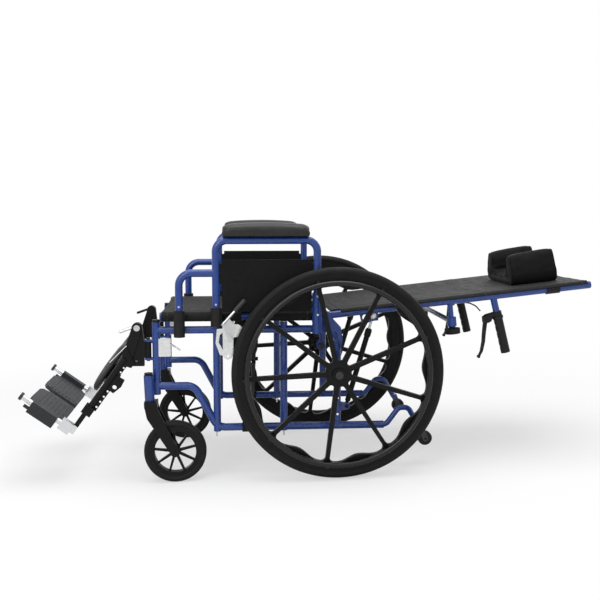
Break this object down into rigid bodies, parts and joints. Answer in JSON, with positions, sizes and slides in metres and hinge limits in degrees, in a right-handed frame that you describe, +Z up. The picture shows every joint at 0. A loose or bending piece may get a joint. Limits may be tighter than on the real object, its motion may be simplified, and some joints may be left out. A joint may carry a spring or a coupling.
{
  "type": "reclining wheelchair",
  "caption": "Self-propelled folding wheelchair with a full-length reclining back, headrest, lift-off armrests, wheel locks, anti-tippers and swing-away elevating legrests.",
  "frame": {"origin": "on the floor under the middle of the part's box", "axes": "+X to the sitter's left, +Y to the rear, +Z up"},
  "size_m": [0.662, 1.6899, 0.7456],
  "materials": {
    "frame_blue": "glossy deep blue powder coat",
    "black_metal": "satin black paint",
    "bright_metal": "bright zinc plate",
    "black_plastic": "satin black moulding",
    "wheel_black": "smooth black moulding",
    "pad_black": "grained black vinyl",
    "cloth_black": "black woven nylon",
    "tyre_black": "solid black tyre",
    "plate_grey": "dark grey composite"
  },
  "bodies": {
    "left_frame": {"left_side_frame": "frame_blue", "left_arm_sockets": "black_plastic", "left_hardware": "bright_metal", "left_anti_tipper": "frame_blue"},
    "right_frame": {"right_side_frame": "frame_blue", "right_arm_sockets": "black_plastic", "right_hardware": "bright_metal", "right_anti_tipper": "frame_blue"},
    "cross_brace_a": {"cross_brace_a": "black_metal"},
    "cross_brace_b": {"cross_brace_b": "black_metal"},
    "left_seat_rail": {"left_seat_rail": "frame_blue", "seat_upholstery": "cloth_black"},
    "right_seat_rail": {"right_seat_rail": "frame_blue"},
    "spreader_bar": {"spreader_bar": "black_metal"},
    "left_wheel": {"left_wheel_tyre": "tyre_black", "left_wheel_rim": "wheel_black", "left_handrim": "wheel_black"},
    "left_caster_fork": {"left_caster_fork": "black_metal"},
    "left_caster_wheel": {"left_caster_rim": "wheel_black", "left_caster_tyre": "tyre_black"},
    "left_anti_tip_wheel": {"left_anti_tip_wheel": "black_plastic"},
    "left_lock_lever": {"left_lock_lever": "bright_metal"},
    "left_armrest": {"left_arm_frame": "frame_blue", "left_arm_pad": "pad_black", "left_side_panel": "black_plastic"},
    "left_cane": {"left_back_cane": "frame_blue", "left_push_grip": "black_plastic", "left_cane_fittings": "black_plastic", "back_upholstery": "cloth_black", "headrest": "cloth_black"},
    "left_release_lever": {"left_release_lever": "black_plastic"},
    "left_recline_cylinder": {"left_recline_cylinder": "black_metal"},
    "left_cylinder_rod": {"left_cylinder_rod": "bright_metal"},
    "left_legrest_hanger": {"left_legrest_hanger": "black_metal"},
    "left_leg": {"left_leg_tube": "black_metal", "left_calf_pad": "pad_black"},
    "left_foot_hinge": {"left_footplate_hinge": "bright_metal"},
    "left_footplate": {"left_footplate": "plate_grey"},
    "right_wheel": {"right_wheel_tyre": "tyre_black", "right_wheel_rim": "wheel_black", "right_handrim": "wheel_black"},
    "right_caster_fork": {"right_caster_fork": "black_metal"},
    "right_caster_wheel": {"right_caster_rim": "wheel_black", "right_caster_tyre": "tyre_black"},
    "right_anti_tip_wheel": {"right_anti_tip_wheel": "black_plastic"},
    "right_lock_lever": {"right_lock_lever": "bright_metal"},
    "right_armrest": {"right_arm_frame": "frame_blue", "right_arm_pad": "pad_black", "right_side_panel": "black_plastic"},
    "right_cane": {"right_back_cane": "frame_blue", "right_push_grip": "black_plastic", "right_cane_fittings": "black_plastic"},
    "right_release_lever": {"right_release_lever": "black_plastic"},
    "right_recline_cylinder": {"right_recline_cylinder": "black_metal"},
    "right_cylinder_rod": {"right_cylinder_rod": "bright_metal"},
    "right_legrest_hanger": {"right_legrest_hanger": "black_metal"},
    "right_leg": {"right_leg_tube": "black_metal", "right_calf_pad": "pad_black"},
    "right_foot_hinge": {"right_footplate_hinge": "bright_metal"},
    "right_footplate": {"right_footplate": "plate_grey"}
  },
  "joints": [
    {"name": "frame_fold", "type": "hinge", "parent": "left_frame", "child": "cross_brace_a", "pos_m": [0.218, -0.19377, 0.14425], "axis": [0, 0.9994, -0.0349], "range_deg": [0, 26], "deforming": ["seat_upholstery", "back_upholstery", "headrest"]},
    {"name": "brace_scissor", "type": "hinge", "parent": "cross_brace_a", "child": "cross_brace_b", "pos_m": [0, -0.17506, 0.30769], "axis": [0, 0.9994, -0.0349], "range_deg": [-52, 0]},
    {"name": "right_frame_turn", "type": "hinge", "parent": "cross_brace_b", "child": "right_frame", "pos_m": [-0.218, -0.16779, 0.14334], "axis": [0, 0.9994, -0.0349], "range_deg": [0, 26]},
    {"name": "right_rail_turn", "type": "hinge", "parent": "cross_brace_a", "child": "right_seat_rail", "pos_m": [-0.218, -0.18233, 0.47205], "axis": [0, 0.9994, -0.0349], "range_deg": [-26, 0]},
    {"name": "left_rail_turn", "type": "hinge", "parent": "cross_brace_b", "child": "left_seat_rail", "pos_m": [0.218, -0.15634, 0.47114], "axis": [0, 0.9994, -0.0349], "range_deg": [0, 26]},
    {"name": "left_wheel_spin", "type": "hinge", "parent": "left_frame", "child": "left_wheel", "pos_m": [0.296, 0.074, 0.305], "axis": [1, 0, 0], "continuous": true},
    {"name": "left_caster_swivel", "type": "hinge", "parent": "left_frame", "child": "left_caster_fork", "pos_m": [0.243, -0.46824, 0.27891], "axis": [0, 0, 1], "continuous": true},
    {"name": "left_caster_spin", "type": "hinge", "parent": "left_caster_fork", "child": "left_caster_wheel", "pos_m": [0.243, -0.40224, 0.09], "axis": [1, 0, 0], "continuous": true},
    {"name": "left_anti_tip_spin", "type": "hinge", "parent": "left_frame", "child": "left_anti_tip_wheel", "pos_m": [0.218, 0.3364, 0.08271], "axis": [1, 0, 0], "continuous": true},
    {"name": "left_wheel_lock", "type": "hinge", "parent": "left_frame", "child": "left_lock_lever", "pos_m": [0.271, -0.22424, 0.44649], "axis": [1, 0, 0], "range_deg": [0, 22]},
    {"name": "left_armrest_lift", "type": "slide", "parent": "left_frame", "child": "left_armrest", "axis": [0, 0.0349, 0.9994], "range_m": [0, 0.12]},
    {"name": "left_recline", "type": "hinge", "parent": "left_frame", "child": "left_cane", "pos_m": [0.218, 0.04953, 0.46395], "axis": [1, 0, 0], "range_deg": [0, 80]},
    {"name": "left_cylinder_pivot", "type": "hinge", "parent": "left_frame", "child": "left_recline_cylinder", "pos_m": [0.196, 0.10597, 0.18881], "axis": [1, 0, 0], "range_deg": [0, 21.4]},
    {"name": "left_rod_slide", "type": "slide", "parent": "left_recline_cylinder", "child": "left_cylinder_rod", "axis": [0, 0.3133, 0.9497], "range_m": [0, 0.1364]},
    {"name": "left_release_squeeze", "type": "hinge", "parent": "left_cane", "child": "left_release_lever", "pos_m": [0.218, 0.52665, 0.43028], "axis": [1, 0, 0], "range_deg": [0, 14], "stiffness_Nm_per_rad": 0.6},
    {"name": "left_legrest_swing", "type": "hinge", "parent": "left_frame", "child": "left_legrest_hanger", "pos_m": [0.218, -0.46747, 0.38695], "axis": [0, 0.0349, 0.9994], "range_deg": [0, 90]},
    {"name": "left_leg_elevate", "type": "hinge", "parent": "left_legrest_hanger", "child": "left_leg", "pos_m": [0.225, -0.49622, 0.45199], "axis": [-1, 0, 0], "range_deg": [0, 54]},
    {"name": "left_foot_tuck", "type": "hinge", "parent": "left_leg", "child": "left_foot_hinge", "pos_m": [0.225, -0.76809, 0.21771], "axis": [0, -0.788, 0.6157], "range_deg": [-88, 0]},
    {"name": "left_footplate_flip", "type": "hinge", "parent": "left_foot_hinge", "child": "left_footplate", "pos_m": [0.225, -0.76809, 0.21771], "axis": [0, -0.788, 0.6157], "range_deg": [-90, 0]},
    {"name": "right_wheel_spin", "type": "hinge", "parent": "right_frame", "child": "right_wheel", "pos_m": [-0.296, 0.074, 0.305], "axis": [1, 0, 0], "continuous": true},
    {"name": "right_caster_swivel", "type": "hinge", "parent": "right_frame", "child": "right_caster_fork", "pos_m": [-0.243, -0.46824, 0.27891], "axis": [0, 0, 1], "continuous": true},
    {"name": "right_caster_spin", "type": "hinge", "parent": "right_caster_fork", "child": "right_caster_wheel", "pos_m": [-0.243, -0.40224, 0.09], "axis": [1, 0, 0], "continuous": true},
    {"name": "right_anti_tip_spin", "type": "hinge", "parent": "right_frame", "child": "right_anti_tip_wheel", "pos_m": [-0.218, 0.3364, 0.08271], "axis": [1, 0, 0], "continuous": true},
    {"name": "right_wheel_lock", "type": "hinge", "parent": "right_frame", "child": "right_lock_lever", "pos_m": [-0.271, -0.22424, 0.44649], "axis": [1, 0, 0], "range_deg": [0, 22]},
    {"name": "right_armrest_lift", "type": "slide", "parent": "right_frame", "child": "right_armrest", "axis": [0, 0.0349, 0.9994], "range_m": [0, 0.12]},
    {"name": "right_recline", "type": "hinge", "parent": "right_frame", "child": "right_cane", "pos_m": [-0.218, 0.04953, 0.46395], "axis": [1, 0, 0], "range_deg": [0, 80]},
    {"name": "right_cylinder_pivot", "type": "hinge", "parent": "right_frame", "child": "right_recline_cylinder", "pos_m": [-0.196, 0.10597, 0.18881], "axis": [1, 0, 0], "range_deg": [0, 21.4]},
    {"name": "right_rod_slide", "type": "slide", "parent": "right_recline_cylinder", "child": "right_cylinder_rod", "axis": [0, 0.3133, 0.9497], "range_m": [0, 0.1364]},
    {"name": "right_release_squeeze", "type": "hinge", "parent": "right_cane", "child": "right_release_lever", "pos_m": [-0.218, 0.52665, 0.43028], "axis": [1, 0, 0], "range_deg": [0, 14], "stiffness_Nm_per_rad": 0.6},
    {"name": "right_legrest_swing", "type": "hinge", "parent": "right_frame", "child": "right_legrest_hanger", "pos_m": [-0.218, -0.46747, 0.38695], "axis": [0, 0.0349, 0.9994], "range_deg": [-90, 0]},
    {"name": "right_leg_elevate", "type": "hinge", "parent": "right_legrest_hanger", "child": "right_leg", "pos_m": [-0.225, -0.49622, 0.45199], "axis": [-1, 0, 0], "range_deg": [0, 54]},
    {"name": "right_foot_tuck", "type": "hinge", "parent": "right_leg", "child": "right_foot_hinge", "pos_m": [-0.225, -0.76809, 0.21771], "axis": [0, 0.788, -0.6157], "range_deg": [-88, 0]},
    {"name": "right_footplate_flip", "type": "hinge", "parent": "right_foot_hinge", "child": "right_footplate", "pos_m": [-0.225, -0.76809, 0.21771], "axis": [0, 0.788, -0.6157], "range_deg": [-90, 0]},
    {"name": "spreader_swing", "type": "hinge", "parent": "left_cane", "child": "spreader_bar", "pos_m": [0.218, 0.42408, 0.42929], "axis": [0, -0.0732, 0.9973], "range_deg": [0, 75]}
  ],
  "couplings": [
    {"joint": "brace_scissor", "follows": "frame_fold", "ratio": -2},
    {"joint": "right_frame_turn", "follows": "frame_fold", "ratio": 1},
    {"joint": "right_rail_turn", "follows": "frame_fold", "ratio": -1},
    {"joint": "left_rail_turn", "follows": "frame_fold", "ratio": 1},
    {"joint": "left_cylinder_pivot", "follows": "left_recline", "ratio": 0.2663},
    {"joint": "left_rod_slide", "follows": "left_recline", "m_per_rad": 0.09756},
    {"joint": "left_foot_tuck", "follows": "frame_fold", "ratio": -3.3846},
    {"joint": "right_recline", "follows": "left_recline", "ratio": 1},
    {"joint": "right_cylinder_pivot", "follows": "left_recline", "ratio": 0.2663},
    {"joint": "right_rod_slide", "follows": "left_recline", "m_per_rad": 0.09756},
    {"joint": "right_foot_tuck", "follows": "frame_fold", "ratio": -3.3846}
  ]
}
